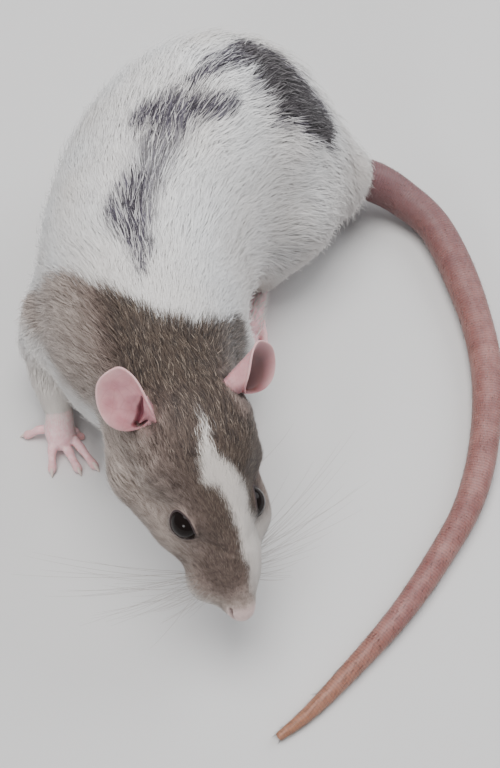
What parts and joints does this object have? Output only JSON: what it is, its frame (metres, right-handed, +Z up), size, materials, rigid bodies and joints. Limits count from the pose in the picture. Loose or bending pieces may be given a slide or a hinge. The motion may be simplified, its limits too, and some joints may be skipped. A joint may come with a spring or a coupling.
{
  "type": "pet rat",
  "caption": "Still, life-size young hooded pet rat, crouched and curled to its left with its head low, ears raised and its tail swept forward along the floor.",
  "frame": {"origin": "on the floor under the middle of the bounding box of the whole rat, tail included", "axes": "+Z up from the floor, -Y the way the rat's head points, +X towards the rat's left and its tail"},
  "size_m": [0.103, 0.147, 0.0543],
  "materials": {
    "hood_fur": "short ticked brown and grey fur",
    "white_fur": "soft white fur with a grey broken stripe on the back",
    "ear_skin": "thin bare pink skin",
    "paw_skin": "bare pink skin with pale claws",
    "tail_skin": "pink skin with fine rings of scales",
    "eye": "wet black gloss"
  },
  "bodies": {
    "root": {"head": "hood_fur", "ear_left": "ear_skin", "ear_right": "ear_skin", "eye_left": "eye", "eye_right": "eye", "neck": "hood_fur", "chest": "white_fur", "loin": "white_fur", "rump": "white_fur", "foreleg_left": "white_fur", "foreleg_right": "white_fur", "forepaw_left": "paw_skin", "forepaw_right": "paw_skin", "hindleg_left": "white_fur", "hindleg_right": "white_fur", "hindpaw_left": "paw_skin", "hindpaw_right": "paw_skin", "tail_1": "tail_skin", "tail_2": "tail_skin", "tail_3": "tail_skin", "tail_4": "tail_skin", "tail_5": "tail_skin"}
  },
  "joints": []
}
